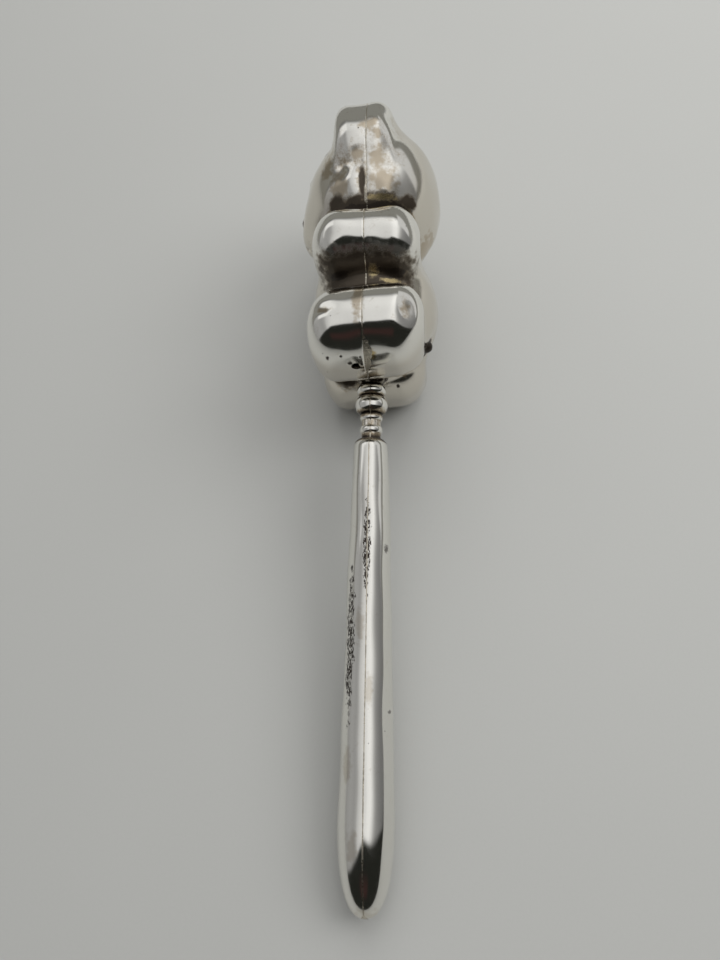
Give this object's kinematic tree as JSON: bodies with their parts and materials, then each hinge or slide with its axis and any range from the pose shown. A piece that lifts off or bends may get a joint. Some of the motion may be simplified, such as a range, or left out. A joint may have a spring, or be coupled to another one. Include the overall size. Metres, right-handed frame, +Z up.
{
  "type": "baby rattle",
  "caption": "Silver baby rattle lying on its side: a hollow teddy bear struck in two halves on a beaded hollow handle, with loose pellets inside.",
  "frame": {"origin": "on the ground under the middle of the box of the lying rattle", "axes": "+Z up from the ground it lies on, +Y along the handle towards the bear's head, +X towards the bear's back"},
  "size_m": [0.0276, 0.146, 0.0425],
  "materials": {
    "struck_silver": "polished silver, struck from sheet, hand-worn, with brown to black tarnish in the creases",
    "handle_silver": "polished silver with fine scratches, dark pitting along the seam and a few yellow stains",
    "silver_solder": "tarnished silver solder, dull and lumpy",
    "steel_shot": "plain steel shot"
  },
  "bodies": {
    "rattle": {"bear_front_shell": "struck_silver", "bear_back_shell": "struck_silver", "bear_seam_solder": "silver_solder", "neck_solder": "silver_solder", "handle_front_half": "handle_silver", "handle_back_half": "handle_silver", "handle_seam_solder": "silver_solder"},
    "pellet_1": {"pellet_1": "steel_shot"},
    "pellet_2": {"pellet_2": "steel_shot"},
    "pellet_3": {"pellet_3": "steel_shot"},
    "pellet_4": {"pellet_4": "steel_shot"},
    "pellet_5": {"pellet_5": "steel_shot"},
    "pellet_6": {"pellet_6": "steel_shot"},
    "pellet_7": {"pellet_7": "steel_shot"},
    "pellet_8": {"pellet_8": "steel_shot"}
  },
  "joints": [
    {"name": "pellet_1_travel", "type": "slide", "parent": "rattle", "child": "pellet_1", "axis": [0, -0.15, 0.9887], "range_m": [0, 0.0347]},
    {"name": "pellet_2_travel", "type": "slide", "parent": "rattle", "child": "pellet_2", "axis": [0, -0.15, 0.9887], "range_m": [0, 0.0347]},
    {"name": "pellet_3_travel", "type": "slide", "parent": "rattle", "child": "pellet_3", "axis": [0, -0.15, 0.9887], "range_m": [0, 0.0347]},
    {"name": "pellet_4_travel", "type": "slide", "parent": "rattle", "child": "pellet_4", "axis": [0, -0.15, 0.9887], "range_m": [0, 0.0342]},
    {"name": "pellet_5_travel", "type": "slide", "parent": "rattle", "child": "pellet_5", "axis": [0, -0.15, 0.9887], "range_m": [0, 0.0342]},
    {"name": "pellet_6_travel", "type": "slide", "parent": "rattle", "child": "pellet_6", "axis": [0, -0.15, 0.9887], "range_m": [0, 0.0339]},
    {"name": "pellet_7_travel", "type": "slide", "parent": "rattle", "child": "pellet_7", "axis": [0, -0.15, 0.9887], "range_m": [0, 0.0339]},
    {"name": "pellet_8_travel", "type": "slide", "parent": "rattle", "child": "pellet_8", "axis": [0, -0.15, 0.9887], "range_m": [0, 0.0339]}
  ]
}
